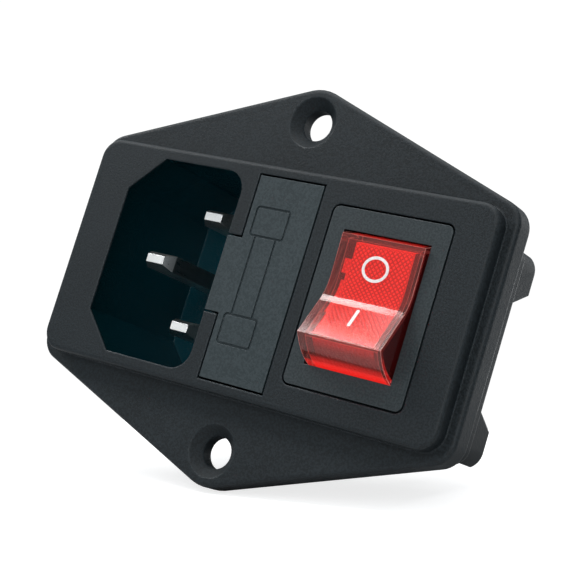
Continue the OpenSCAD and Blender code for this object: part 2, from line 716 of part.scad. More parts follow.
housing();
line_pin();
neutral_pin();
earth_pin();
fuse_contact();
switch_case();
common_terminal();
load_terminal();
lamp_terminal();
fixed_contact();
contact_lever();
moving_contact();
rocker_cap();
rocker_reflector();
neon_lamp();
lamp_resistor();
lamp_leads();
plunger();
plunger_spring();
fuse_drawer();
glass_tube(work_y);  // fuse_glass
cap_pair(work_y);  // fuse_caps
melt_wire(work_y);  // fuse_wire
glass_tube(spare_y);  // spare_fuse_glass
cap_pair(spare_y);  // spare_fuse_caps
melt_wire(spare_y);  // spare_fuse_wire
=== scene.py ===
# %% [markdown]
# # A power entry module, dressed
# The part is a black moulding with an appliance inlet, a fuse drawer and a clear red rocker
# switch. Its solids come from the CAD model and stay as they are. This lesson gives them a
# camera, a floor, light and finishes. It then adds what is too fine for the CAD model: the
# small pyramids under the rocker's clear cap, and the two marks printed on it.

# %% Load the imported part
import json
import math
import bpy
import bmesh
from mathutils import Matrix, Quaternion, Vector


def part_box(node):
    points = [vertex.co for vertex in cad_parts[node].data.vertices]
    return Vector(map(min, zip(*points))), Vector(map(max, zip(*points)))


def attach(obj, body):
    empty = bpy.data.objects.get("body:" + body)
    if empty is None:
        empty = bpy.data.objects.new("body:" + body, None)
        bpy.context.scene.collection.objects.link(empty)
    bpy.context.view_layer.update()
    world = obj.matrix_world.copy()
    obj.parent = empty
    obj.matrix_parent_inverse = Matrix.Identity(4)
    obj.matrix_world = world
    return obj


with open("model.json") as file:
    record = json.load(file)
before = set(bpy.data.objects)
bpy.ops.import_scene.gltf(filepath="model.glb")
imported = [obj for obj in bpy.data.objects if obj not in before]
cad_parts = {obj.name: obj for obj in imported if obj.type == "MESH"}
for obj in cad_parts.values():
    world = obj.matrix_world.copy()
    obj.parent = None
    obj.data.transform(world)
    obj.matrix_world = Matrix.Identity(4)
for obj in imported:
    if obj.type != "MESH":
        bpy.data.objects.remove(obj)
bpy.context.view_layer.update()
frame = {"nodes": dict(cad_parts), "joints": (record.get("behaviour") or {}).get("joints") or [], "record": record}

nodes = frame["nodes"]
record = frame["record"]

# %% [markdown]
# ## Units and selection
# The new piece is then the active object, and gets its name at once.

# %% Units and selection
mm = 0.001


def in_mm(corners):
    return [[round(v / mm, 2) for v in corner] for corner in corners]


def clear_selection():
    bpy.ops.object.select_all(action="DESELECT")


def take_active(name):
    piece = bpy.context.active_object
    piece.name = name
    piece.data.name = name
    return piece


# %% [markdown]
# ## Camera
# The photograph looks at the front from the right and from slightly below, and the camera is
# rolled, so that the flange leans over. A camera can be set by eye, but a fit is surer: its
# place, roll and focal length were found from where the part's own corners lie in the picture.
# A tracking rotation aims it, and the roll is a turn about its own axis after that.

# %% Camera at the photograph's angle
eye = Vector((99.928, -146.702, -19.554)) * mm
aim = Vector((3.851, -2.8, 0.066)) * mm
roll = math.radians(17.05)

camera_data = bpy.data.cameras.new("view_camera")
camera_data.sensor_width = 36
camera_data.lens = 94.578
camera_data.clip_start = 5 * mm
camera_data.clip_end = 20
camera = bpy.data.objects.new("view_camera", camera_data)
bpy.context.scene.collection.objects.link(camera)
camera.location = eye
camera.rotation_mode = "QUATERNION"
camera.rotation_quaternion = (aim - eye).to_track_quat("-Z", "Y") @ Quaternion((0, 0, 1), roll)
bpy.context.scene.camera = camera
bpy.context.view_layer.update()
print("camera distance in mm", round((aim - eye).length / mm, 1))

# %% [markdown]
# ## Floor
# The module stands on its lower tip on a pale table. In the photograph the table is level with
# the picture's lower edge, so the floor is turned to match the camera's own level. A wide plane
# would hide the part from other sides, so the floor is a disc only a little wider than it.
#
# White paper throws much light up onto black plastic. This paper is a mid grey, and glows for
# the camera's own rays alone, which Light Path tells from the others. It still looks white, its
# shadow is soft, and the part's underside stays dark.

# %% Floor
paper_grey = (0.55, 0.55, 0.55, 1)
paper_glow = 0.76
floor_radius = 62 * mm
look_down = math.radians(3)

paper = bpy.data.materials.new("pale_table")
paper.use_nodes = True
paper_tree = paper.node_tree
paper_shader = paper_tree.nodes["Principled BSDF"]
paper_shader.inputs["Base Color"].default_value = paper_grey
paper_shader.inputs["Roughness"].default_value = 0.9
paper_shader.inputs["Specular IOR Level"].default_value = 0.1
paper_shader.inputs["Emission Color"].default_value = (1, 1, 1, 1)
paper_path = paper_tree.nodes.new("ShaderNodeLightPath")
paper_lift = paper_tree.nodes.new("ShaderNodeMath")
paper_lift.operation = "MULTIPLY"
paper_lift.inputs[1].default_value = paper_glow
paper_tree.links.new(paper_path.outputs["Is Camera Ray"], paper_lift.inputs[0])
paper_tree.links.new(paper_lift.outputs[0], paper_shader.inputs["Emission Strength"])

view_turn = camera.matrix_world.to_3x3()
view_up = view_turn @ Vector((0, 1, 0))
view_back = view_turn @ Vector((0, 0, 1))
floor_normal = view_up * math.cos(look_down) + view_back * math.sin(look_down)
floor_turn = floor_normal.to_track_quat("Z", "Y").to_matrix().to_4x4()
lower_tip = Vector((0, 0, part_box("housing")[0].z - 0.05 * mm))

clear_selection()
bpy.ops.mesh.primitive_circle_add(vertices=96, radius=floor_radius, fill_type="NGON")
floor = take_active("table_floor")
floor.data.transform(Matrix.Translation(lower_tip) @ floor_turn)
floor.data.materials.append(paper)
print("floor leans", round(math.degrees(floor_normal.angle(Vector((0, 0, 1)))), 1), "degrees")

# %% [markdown]
# ## Light
# Soft boxes give the even light of a product photograph. A soft box is an area light: its
# brightness as seen in a reflection is its power divided by its area, so the helper takes that
# brightness and works the power out. A box then looks as bright from near or from far.
#
# Three boxes light the part as a whole. The other three are there for one reflection each: the
# white band across the rocker's crease, the bright tips of the pins, and the edges on the
# right. Such a box can't be placed by guessing. The line of sight is mirrored at the face that
# has to shine, and the box hangs where the mirrored line goes.

# %% Soft boxes
def soft_box(name, direction, distance, width, height, brightness, look_at=aim, slide=0):
    """A box whose width runs along X as far as its direction allows, and slides along it."""
    light = bpy.data.lights.new(name, "AREA")
    light.shape = "RECTANGLE"
    light.size = width
    light.size_y = height
    light.energy = brightness * math.pi * width * height
    holder = bpy.data.objects.new(name, light)
    bpy.context.scene.collection.objects.link(holder)
    away = Vector(direction).normalized()
    along = (Vector((1, 0, 0)) - away * away.x).normalized()
    holder.location = look_at + away * distance + along * slide
    holder.rotation_mode = "QUATERNION"
    turn = Matrix((along, away.cross(along), away)).transposed()
    holder.rotation_quaternion = turn.to_quaternion()
    print(name, "W", round(light.energy, 3))


def mirrored(normal, place=aim):
    """The direction that a face with this normal, at this place, reflects towards the camera."""
    view = (eye - place).normalized()
    n = Vector(normal).normalized()
    return 2 * n.dot(view) * n - view


soft_box("key_box", (0.35, -0.8, 0.55), distance=0.5, width=0.35, height=0.3, brightness=1.3)
soft_box("top_box", (-0.1, -0.15, 1.0), distance=0.45, width=0.4, height=0.4, brightness=2.6)

# The band's right end lies at this place in the crease, on a surface that leans by this angle.
band_end = Vector((19.3, -5.3, -1.5)) * mm
band_turn = math.radians(25.9)
band_normal = Vector((0, -math.cos(band_turn), math.sin(band_turn)))
soft_box("band_strip", mirrored(band_normal, band_end), distance=0.45, width=0.32,
         height=0.085, brightness=13.0, look_at=band_end, slide=-0.16)

pin_place = Vector((-12.5, -1, 0)) * mm
soft_box("pin_box", mirrored((0, -1, -0.04), pin_place), distance=0.45, width=0.09,
         height=0.14, brightness=1.6, look_at=pin_place)

edge_normal = (0.5, -1, 0)
soft_box("edge_strip", mirrored(edge_normal), distance=0.5, width=0.03, height=0.3,
         brightness=20.0)
soft_box("back_box", (0.3, 1.0, 0.3), distance=0.5, width=0.35, height=0.3, brightness=1.2)

# %% [markdown]
# The world is white where the camera looks straight at it, and darker and a little blue for
# everything else. The background is then clean paper, while black plastic doesn't turn grey.
# Light Path tells the two kinds of ray apart here too.

# %% World
soft_colour = (0.86, 0.94, 1.0, 1)
soft_strength = 0.42
white_strength = 1.05

world = bpy.data.worlds.new("studio")
bpy.context.scene.world = world
world.use_nodes = True
sky = world.node_tree
sky.nodes.clear()
sky_soft = sky.nodes.new("ShaderNodeBackground")
sky_soft.inputs["Color"].default_value = soft_colour
sky_soft.inputs["Strength"].default_value = soft_strength
sky_white = sky.nodes.new("ShaderNodeBackground")
sky_white.inputs["Color"].default_value = (1, 1, 1, 1)
sky_white.inputs["Strength"].default_value = white_strength
sky_path = sky.nodes.new("ShaderNodeLightPath")
sky_mix = sky.nodes.new("ShaderNodeMixShader")
sky_out = sky.nodes.new("ShaderNodeOutputWorld")
sky.links.new(sky_path.outputs["Is Camera Ray"], sky_mix.inputs["Fac"])
sky.links.new(sky_soft.outputs["Background"], sky_mix.inputs[1])
sky.links.new(sky_white.outputs["Background"], sky_mix.inputs[2])
sky.links.new(sky_mix.outputs["Shader"], sky_out.inputs["Surface"])
bpy.context.scene.view_settings.view_transform = "Standard"
bpy.context.scene.view_settings.look = "None"
print("world", world.name, "soft", soft_strength, "white", white_strength)

# %% [markdown]
# ## Shared effects
# Several finishes need the same fine things, such as the grain of a mould or a worn edge. Each
# is a node group with named sockets, built once. A group only puts out masks, heights and
# normals. The shader stays in the material, where the values differ.
#
# Nodes take many lines to link by hand, so a few small helpers come first: one sets or links a
# socket, one adds a sum, one makes a ramp between two values, two read the place on the object,
# and one adds a noise.

# %% Helpers for nodes
def put(tree, value, socket):
    """Links another node's output to a socket, or sets a number or a colour on it."""
    if isinstance(value, bpy.types.NodeSocket):
        tree.links.new(value, socket)
    elif isinstance(value, tuple):
        socket.default_value = (*value, 1)
    else:
        socket.default_value = value


def math_node(tree, operation, first, second=None, third=None, clamp=False):
    node = tree.nodes.new("ShaderNodeMath")
    node.operation = operation
    node.use_clamp = clamp
    for socket, value in zip(node.inputs, (first, second, third)):
        if value is not None:
            put(tree, value, socket)
    return node.outputs[0]


def ramp(tree, value, start, full):
    """A mask that is 0 up to start and 1 from full on. Start may be the larger of the two."""
    gain = 1 / (full - start)
    return math_node(tree, "MULTIPLY_ADD", value, gain, -start * gain, clamp=True)


def object_place(tree):
    return tree.nodes.new("ShaderNodeTexCoord").outputs["Object"]


def axes_of(tree, vector):
    split = tree.nodes.new("ShaderNodeSeparateXYZ")
    tree.links.new(vector, split.inputs["Vector"])
    return split.outputs


def noise_node(tree, place, scale, detail, rough=0.5):
    """A noise around 0.5. Its scale is the number of grains in a metre."""
    noise = tree.nodes.new("ShaderNodeTexNoise")
    noise.inputs["Detail"].default_value = detail
    noise.inputs["Roughness"].default_value = rough
    tree.links.new(place, noise.inputs["Vector"])
    put(tree, scale, noise.inputs["Scale"])
    return noise.outputs["Fac"]


print("helpers for nodes are defined")

# %% [markdown]
# A group's sockets are made on its interface. Inputs are plain numbers here, each with the
# value it has when a material doesn't set it.

# %% New groups
number = "NodeSocketFloat"
vector = "NodeSocketVector"


def new_group(name, inputs, outputs):
    group = bpy.data.node_groups.new(name, "ShaderNodeTree")
    for label, value in inputs.items():
        socket = group.interface.new_socket(label, in_out="INPUT", socket_type=number)
        socket.default_value = value
    for label, kind in outputs.items():
        group.interface.new_socket(label, in_out="OUTPUT", socket_type=kind)
    return group, group.nodes.new("NodeGroupInput"), group.nodes.new("NodeGroupOutput")


print("sockets", number, vector)

# %% [markdown]
# The mould of such a part is eroded by sparks, which leaves a fine bumpy skin. A picture of
# grain would stretch on the side walls, so the grain is a noise in object coordinates. Height
# is the skin for a bump. Speckle is the same skin as tone, with its contrast turned up.

# %% Mould grain
metre_in_mm = 1000.0
speckle_contrast = 9.0

grain_group, grain_in, grain_out = new_group(
    "mould_grain", {"Size mm": 0.25}, {"Height": number, "Speckle": number})
grain_scale = math_node(grain_group, "DIVIDE", metre_in_mm, grain_in.outputs["Size mm"])
grain_skin = noise_node(grain_group, object_place(grain_group), grain_scale, 2.0, 0.6)
grain_tone = math_node(grain_group, "MULTIPLY_ADD", grain_skin, speckle_contrast,
                       0.5 - 0.5 * speckle_contrast, clamp=True)
grain_group.links.new(grain_skin, grain_out.inputs["Height"])
grain_group.links.new(grain_tone, grain_out.inputs["Speckle"])
print("group", grain_group.name)

# %% [markdown]
# A moulding isn't the same tone all over: plastic flows, and hands and dust leave a haze. The
# cloud is a broad noise, some millimetres across, whose contrast each material sets.

# %% Slow change of tone
cloud_group, cloud_in, cloud_out = new_group(
    "slow_tone", {"Size mm": 9.0, "Contrast": 1.0}, {"Cloud": number})
cloud_scale = math_node(cloud_group, "DIVIDE", metre_in_mm, cloud_in.outputs["Size mm"])
cloud_noise = noise_node(cloud_group, object_place(cloud_group), cloud_scale, 3.0)
cloud_centred = math_node(cloud_group, "SUBTRACT", cloud_noise, 0.5)
cloud_spread = math_node(cloud_group, "MULTIPLY_ADD", cloud_centred,
                         cloud_in.outputs["Contrast"], 0.5, clamp=True)
cloud_group.links.new(cloud_spread, cloud_out.inputs["Cloud"])
print("group", cloud_group.name)

# %% [markdown]
# A real moulding has no knife edge. Rounding each edge in the mesh would change the CAD model,
# so the Bevel node turns the normals near an edge instead, which catches the light along it.
# Where the turned normal leaves the true one, the Edge mask marks the edge. Finishes make it
# smoother there, as wear does, and use it for a painted highlight or glow along the edge.

# %% Soft edges
edge_gain = 6.0

edge_group, edge_in, edge_out = new_group(
    "soft_edge", {"Radius mm": 0.1}, {"Normal": vector, "Edge": number})
edge_bevel = edge_group.nodes.new("ShaderNodeBevel")
edge_bevel.samples = 4
edge_radius = math_node(edge_group, "MULTIPLY", edge_in.outputs["Radius mm"], mm)
edge_group.links.new(edge_radius, edge_bevel.inputs["Radius"])
edge_true = edge_group.nodes.new("ShaderNodeNewGeometry")
edge_dot = edge_group.nodes.new("ShaderNodeVectorMath")
edge_dot.operation = "DOT_PRODUCT"
edge_group.links.new(edge_bevel.outputs["Normal"], edge_dot.inputs[0])
edge_group.links.new(edge_true.outputs["Normal"], edge_dot.inputs[1])
edge_turn = math_node(edge_group, "SUBTRACT", 1.0, edge_dot.outputs["Value"])
edge_mask = math_node(edge_group, "MULTIPLY", edge_turn, edge_gain, clamp=True)
edge_group.links.new(edge_bevel.outputs["Normal"], edge_out.inputs["Normal"])
edge_group.links.new(edge_mask, edge_out.inputs["Edge"])
print("group", edge_group.name)

# %% [markdown]
# ## Finishes
# Every finish starts from a blank material with one shader. Helpers place a group in it, mix
# two colours by a mask, feed the shader, and add a bump.

# %% Helpers for finishes
def blank_finish(name):
    finish = bpy.data.materials.new(name)
    finish.use_nodes = True
    return finish, finish.node_tree, finish.node_tree.nodes["Principled BSDF"]


def use_group(tree, group, **values):
    node = tree.nodes.new("ShaderNodeGroup")
    node.node_tree = group
    for label, value in values.items():
        node.inputs[label.replace("_", " ")].default_value = value
    return node


def colour_sockets(sockets):
    """A Mix node has sockets for every kind of data: these are the ones for colours."""
    return [s for s in sockets if s.type == "RGBA"]


def mix_colours(tree, mask, low, high):
    node = tree.nodes.new("ShaderNodeMix")
    node.data_type = "RGBA"
    tree.links.new(mask, node.inputs["Factor"])
    for socket, value in zip(colour_sockets(node.inputs), (low, high)):
        put(tree, value, socket)
    return colour_sockets(node.outputs)[0]


def feed(shader, label, value):
    shader.id_data.links.new(value, shader.inputs[label])


def add_bump(shader, height, strength, distance, normal=None):
    tree = shader.id_data
    bump = tree.nodes.new("ShaderNodeBump")
    bump.inputs["Strength"].default_value = strength
    bump.inputs["Distance"].default_value = distance
    tree.links.new(height, bump.inputs["Height"])
    if normal is not None:
        tree.links.new(normal, bump.inputs["Normal"])
    feed(shader, "Normal", bump.outputs["Normal"])


print("helpers for finishes are defined")

# %% [markdown]
# One helper makes a moulded plastic: a dark and a light tone mixed by the cloud and the
# speckle, and a bump from the grain. Its edges are smoother, as wear leaves them, and a painted
# highlight makes them lighter. Roughness follows the same masks. Each plastic on the part calls
# it with its own numbers: the drawer and the switch frame are a shade lighter than the flange, as
# separate mouldings often are.

# %% Black plastics
cloud_share = 0.4
speckle_share = 0.6
rough_spread = 0.12
edge_highlight_gain = 2.2
edge_polish = 0.3
grain_depth = 0.04 * mm


def moulded_plastic(name, dark, light, rough, grain_mm, bump, edge_mm, specular):
    finish, tree, shader = blank_finish(name)
    grain = use_group(tree, grain_group, Size_mm=grain_mm)
    cloud = use_group(tree, cloud_group, Size_mm=11.0, Contrast=1.6)
    edge = use_group(tree, edge_group, Radius_mm=edge_mm)
    speckle = math_node(tree, "MULTIPLY", grain.outputs["Speckle"], speckle_share)
    tone = math_node(tree, "MULTIPLY_ADD", cloud.outputs["Cloud"], cloud_share, speckle,
                     clamp=True)
    body = mix_colours(tree, tone, dark, light)
    # Painted highlight: the base colour is lighter along the edges, where the Edge mask is.
    painted_edge_highlight = math_node(tree, "MULTIPLY", edge.outputs["Edge"], 0.5, clamp=True)
    edge_highlight_tone = tuple(edge_highlight_gain * v + 0.01 for v in light)
    feed(shader, "Base Color", mix_colours(tree, painted_edge_highlight, body, edge_highlight_tone))
    dull = math_node(tree, "MULTIPLY_ADD", tone, rough_spread, rough - rough_spread / 2)
    worn_dull = math_node(tree, "MULTIPLY_ADD", edge.outputs["Edge"], -edge_polish, dull,
                          clamp=True)
    feed(shader, "Roughness", worn_dull)
    add_bump(shader, grain.outputs["Height"], bump, grain_depth, edge.outputs["Normal"])
    shader.inputs["Specular IOR Level"].default_value = specular
    return finish


flange_black = moulded_plastic(
    "flange_black", dark=(0.0018, 0.004, 0.0052), light=(0.0125, 0.0185, 0.0225),
    rough=0.55, grain_mm=0.24, bump=0.9, edge_mm=0.3, specular=0.32)
drawer_black = moulded_plastic(
    "drawer_black", dark=(0.0155, 0.025, 0.028), light=(0.033, 0.0455, 0.0505),
    rough=0.5, grain_mm=0.26, bump=0.8, edge_mm=0.1, specular=0.36)
switch_black = moulded_plastic(
    "switch_black", dark=(0.013, 0.020, 0.022), light=(0.034, 0.043, 0.047),
    rough=0.48, grain_mm=0.24, bump=0.7, edge_mm=0.12, specular=0.34)
print("plastics", flange_black.name, drawer_black.name, switch_black.name)

# %% [markdown]
# The inlet's cavity was polished in the mould, not eroded, so its walls are smooth. Its tone
# is painted shade, very dark, with a painted cold blue-green sheen that grows with depth. It is
# part of the same piece as the flange, so it can't have a material of its own. A mask made from
# object coordinates says where the cavity is, and turns the tone and the roughness there. The
# record's openings give its box, which is made a little larger, so that the mask reaches the walls.

# %% Polished cavity with painted shade
cavity_boxes = [o["box_m"] for o in record["physics"]["openings"]
                if o["name"].startswith("inlet")]
cavity_pad = (0.3 * mm, 0.9 * mm, 0.3 * mm)
cavity_low = [min(b[0][k] for b in cavity_boxes) - cavity_pad[k] for k in range(3)]
cavity_high = [max(b[1][k] for b in cavity_boxes) + cavity_pad[k] for k in range(3)]
cavity_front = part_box("housing")[0].y + 0.35 * mm
mouth_softness = 0.2 * mm
wall_softness = 0.05 * mm
cavity_polish = 0.42


def inside_range(tree, value, low, high, softness):
    """A mask that is 1 between low and high, and falls to 0 over the softness outside."""
    over = ramp(tree, value, low - softness, low)
    under = ramp(tree, value, high + softness, high)
    return math_node(tree, "MINIMUM", over, under)


def polish_and_shade_cavity(finish):
    tree = finish.node_tree
    shader = tree.nodes["Principled BSDF"]
    axes = axes_of(tree, object_place(tree))
    mask = inside_range(tree, axes["Y"], cavity_front, cavity_high[1], mouth_softness)
    for axis, k in (("X", 0), ("Z", 2)):
        span = inside_range(tree, axes[axis], cavity_low[k], cavity_high[k], wall_softness)
        mask = math_node(tree, "MULTIPLY", mask, span)
    colour = shader.inputs["Base Color"].links[0].from_socket
    rough = shader.inputs["Roughness"].links[0].from_socket
    deep = ramp(tree, axes["Y"], cavity_front, cavity_high[1])
    # Painted shade: the cavity's walls are darkened, with a painted blue-green sheen deeper in.
    painted_cavity_shade = mix_colours(tree, deep, (0.0005, 0.010, 0.0125), (0.0018, 0.043, 0.060))
    feed(shader, "Base Color", mix_colours(tree, mask, colour, painted_cavity_shade))
    smooth = math_node(tree, "MULTIPLY_ADD", mask, -cavity_polish, rough, clamp=True)
    feed(shader, "Roughness", smooth)


polish_and_shade_cavity(flange_black)
print("cavity in mm", in_mm((cavity_low, cavity_high)))

# %% [markdown]
# ## Metals
# The inlet's pins are stamped brass with a bright tin plating, the switch's terminals and lever
# are bare brass, and contacts, springs and fuse caps are silvery. Stamping leaves fine lines
# along the strip, so the helper stretches a noise along one axis, for both the roughness and
# the bump. Metallic is 1, and the base colour is then the colour of the reflection.

# %% Metals
line_size = 0.2 * mm
line_depth = 0.01 * mm
line_rough = 0.16
along_strip = (1, 0.08, 1)
even_all_ways = (1, 1, 1)


def stamped_metal(name, dark, light, rough, streak=along_strip):
    finish, tree, shader = blank_finish(name)
    stretch = tree.nodes.new("ShaderNodeMapping")
    stretch.inputs["Scale"].default_value = streak
    tree.links.new(object_place(tree), stretch.inputs["Vector"])
    lines = noise_node(tree, stretch.outputs["Vector"], 1 / line_size, 3.0)
    cloud = use_group(tree, cloud_group, Size_mm=3.0, Contrast=2.0)
    edge = use_group(tree, edge_group, Radius_mm=0.12)
    tone = math_node(tree, "MULTIPLY", cloud.outputs["Cloud"], lines, clamp=True)
    feed(shader, "Base Color", mix_colours(tree, tone, dark, light))
    dull = math_node(tree, "MULTIPLY_ADD", lines, line_rough, rough - line_rough / 2)
    feed(shader, "Roughness", dull)
    add_bump(shader, lines, 0.25, line_depth, edge.outputs["Normal"])
    shader.inputs["Metallic"].default_value = 1.0
    return finish


tin_plate = stamped_metal("tin_plate", dark=(0.62, 0.63, 0.62), light=(0.9, 0.9, 0.88),
                          rough=0.3)
raw_brass = stamped_metal("raw_brass", dark=(0.52, 0.37, 0.17), light=(0.8, 0.62, 0.32),
                          rough=0.32)
silver_rivet = stamped_metal("silver_rivet", dark=(0.6, 0.6, 0.6), light=(0.86, 0.86, 0.85),
                             rough=0.25, streak=even_all_ways)
print("metals", tin_plate.name, raw_brass.name, silver_rivet.name)

# %% [markdown]
# ## The lit rocker
# The rocker is two mouldings: a clear red cap, and a bright red reflector under it that spreads
# the lamp's light. In the photograph its O side is pressed in, so it is tilted from level by
# half of its range. The frame gives the joint's place and range. The slope of the two faces and
# the height of the crease between them are the same values as in the CAD source.

# %% Where the faces of the rocker are
rocker_joint = next(j for j in frame["joints"] if j["name"] == "rocker_tilt")
pivot = Vector(rocker_joint["pos_m"])
tilt = math.radians(rocker_joint["range_deg"][1] / 2)
slope = math.radians(16)
crease = 3.36 * mm
rocker_place = Matrix.Translation(pivot) @ Matrix.Rotation(-tilt, 4, "X")


def on_face(along, side, lift):
    """Places a mark drawn flat, with +Z out of the face, on the upper (side 1) or lower face."""
    depth = -(crease + along * math.tan(slope)) - lift
    place = Matrix.Translation(Vector((0, depth, side * along)))
    lean = Matrix.Rotation(math.radians(90) + side * slope, 4, "X")
    return rocker_place @ place @ lean


print("pivot in mm", in_mm([pivot]), "tilt", round(math.degrees(tilt), 1), "degrees")

# %% [markdown]
# Light leaves a clear cap differently at its side walls and at its lower end than through its
# faces. One group finds those walls from the direction that the surface looks in, so that both
# the cap and the reflector can treat them apart.

# %% Which faces are the sides
side_start = 0.65
side_full = 0.9
end_start = 0.55
end_full = 0.8

side_group, _, side_out = new_group(
    "side_faces", {}, {"Side": number, "Lower end": number})
side_normal = side_group.nodes.new("ShaderNodeTexCoord").outputs["Normal"]
side_axes = axes_of(side_group, side_normal)
side_turn = math_node(side_group, "ABSOLUTE", side_axes["X"])
side_mask = ramp(side_group, side_turn, side_start, side_full)
end_turn = math_node(side_group, "MULTIPLY", side_axes["Z"], -1.0)
end_mask = ramp(side_group, end_turn, end_start, end_full)
side_group.links.new(side_mask, side_out.inputs["Side"])
side_group.links.new(end_mask, side_out.inputs["Lower end"])
print("group", side_group.name)

# %% [markdown]
# The cap is a transmissive plastic with a red tint and a smooth surface. Its side walls are
# painted a deeper red, a painted shade. Light that is caught inside such a moulding leaves it at
# its edges and at the rim of its lower end. The renderer would need very many rays for that, so
# those places glow a little by themselves.

# %% Clear red cap
rim_front = -5.2 * mm
rim_back = -3 * mm
rim_red = (0.42, 0.012, 0.010)
edge_pink = (0.50, 0.20, 0.18)
side_shade_red = (0.30, 0.05, 0.05)
cap_smooth = 0.06
cap_haze = 0.05

cap_red, cap_tree, cap_shader = blank_finish("cap_clear_red")
cap_cloud = use_group(cap_tree, cloud_group, Size_mm=4.0, Contrast=1.2)
cap_side = use_group(cap_tree, side_group)
cap_edge = use_group(cap_tree, edge_group, Radius_mm=0.12)
cap_tint = mix_colours(cap_tree, cap_cloud.outputs["Cloud"],
                       (0.90, 0.15, 0.12), (0.95, 0.22, 0.18))
# Painted shade: the side walls take a darker red base colour.
feed(cap_shader, "Base Color",
     mix_colours(cap_tree, cap_side.outputs["Side"], cap_tint, side_shade_red))
feed(cap_shader, "Roughness",
     math_node(cap_tree, "MULTIPLY_ADD", cap_cloud.outputs["Cloud"], cap_haze, cap_smooth))

cap_axes = axes_of(cap_tree, object_place(cap_tree))
rim_band = inside_range(cap_tree, cap_axes["Y"], rim_front, rim_back, 0.5 * mm)
rim_mask = math_node(cap_tree, "MULTIPLY", rim_band, cap_side.outputs["Lower end"])
rim_glow = mix_colours(cap_tree, rim_mask, (0.0, 0.0, 0.0), rim_red)
feed(cap_shader, "Emission Color",
     mix_colours(cap_tree, cap_edge.outputs["Edge"], rim_glow, edge_pink))
cap_shader.inputs["Emission Strength"].default_value = 1.0
cap_shader.inputs["Transmission Weight"].default_value = 0.9
cap_shader.inputs["IOR"].default_value = 1.49
print("cap", cap_red.name)

# %% [markdown]
# The reflector glows with the lamp behind it. Its own surface repeats the pyramids as a height
# pattern, worked out from object coordinates turned into the rocker's plane: in each of two
# slanting directions, the distance to the nearest groove. The smaller one is the height. Its
# colour and glow follow the height, with painted shade in the grooves. Its side walls and lower
# end get no lamp light, so they are a dull dark red.

# %% Bright red reflector
prism_pitch = 0.43 * mm
wall_red = (0.12, 0.006, 0.005)
wall_glow = (0.06, 0.002, 0.002)


def groove_distance(tree, axes, sign):
    run = math_node(tree, "MULTIPLY_ADD", axes["Z"], sign, axes["X"])
    turns = math_node(tree, "DIVIDE", run, prism_pitch * math.sqrt(2))
    return math_node(tree, "PINGPONG", turns, 0.5)


glow_red, glow_tree, glow_shader = blank_finish("reflector_red")
glow_turn = glow_tree.nodes.new("ShaderNodeMapping")
glow_turn.inputs["Rotation"].default_value = (tilt, 0, 0)
glow_tree.links.new(object_place(glow_tree), glow_turn.inputs["Vector"])
glow_axes = axes_of(glow_tree, glow_turn.outputs["Vector"])
glow_height = math_node(glow_tree, "MINIMUM", groove_distance(glow_tree, glow_axes, 1.0),
                        groove_distance(glow_tree, glow_axes, -1.0))
groove_shade_tone = math_node(glow_tree, "MULTIPLY", glow_height, 2.0, clamp=True)
glow_side = use_group(glow_tree, side_group)
glow_wall = math_node(glow_tree, "MAXIMUM", glow_side.outputs["Side"],
                      glow_side.outputs["Lower end"])
# Painted shade: grooves between the pyramids get a darker base colour and a weaker glow.
glow_body = mix_colours(glow_tree, groove_shade_tone, (0.62, 0.03, 0.022), (0.92, 0.10, 0.07))
glow_lit = mix_colours(glow_tree, groove_shade_tone, (0.6, 0.02, 0.015), (1.0, 0.10, 0.07))
feed(glow_shader, "Base Color", mix_colours(glow_tree, glow_wall, glow_body, wall_red))
feed(glow_shader, "Emission Color", mix_colours(glow_tree, glow_wall, glow_lit, wall_glow))
add_bump(glow_shader, glow_height, strength=0.9, distance=0.25 * mm)
glow_shader.inputs["Roughness"].default_value = 0.35
glow_shader.inputs["Emission Strength"].default_value = 0.7
print("reflector", glow_red.name)

# %% [markdown]
# ## Fuse tubes and resistor
# The fuses and the lamp are clear glass, hardly tinted, with a faint haze. The lamp's resistor
# is a dipped tan body, which the helper for plastics can make with warm tones.

# %% Glass and resistor
tube_glass, tube_tree, tube_shader = blank_finish("tube_glass")
tube_cloud = use_group(tube_tree, cloud_group, Size_mm=2.5)
tube_haze = math_node(tube_tree, "MULTIPLY", tube_cloud.outputs["Cloud"], 0.06)
feed(tube_shader, "Base Color", mix_colours(tube_tree, tube_cloud.outputs["Cloud"],
                                            (0.90, 0.94, 0.95), (0.97, 0.98, 0.98)))
feed(tube_shader, "Roughness", tube_haze)
tube_shader.inputs["Transmission Weight"].default_value = 1.0
tube_shader.inputs["IOR"].default_value = 1.5
resistor_tan = moulded_plastic(
    "resistor_tan", dark=(0.42, 0.30, 0.17), light=(0.55, 0.42, 0.26),
    rough=0.35, grain_mm=0.3, bump=0.3, edge_mm=0.1, specular=0.5)
print("glass and resistor", tube_glass.name, resistor_tan.name)

# %% [markdown]
# ## Finishes onto the CAD pieces
# Each CAD piece has one material slot, and the record names it. The mesh isn't touched: only
# what fills the slot is new.

# %% Finishes onto the CAD pieces
finish_of_slot = {
    "black_plastic": flange_black, "drawer_plastic": drawer_black,
    "switch_plastic": switch_black, "pin_metal": tin_plate, "brass": raw_brass,
    "contact_metal": silver_rivet, "clear_red": cap_red, "bright_red": glow_red,
    "clear_glass": tube_glass, "resistor_body": resistor_tan,
}
for piece_record in record["subparts"]:
    piece = nodes[piece_record["node"]]
    piece.data.materials.clear()
    piece.data.materials.append(finish_of_slot[piece_record["material_slot"]])
print("dressed", len(record["subparts"]))

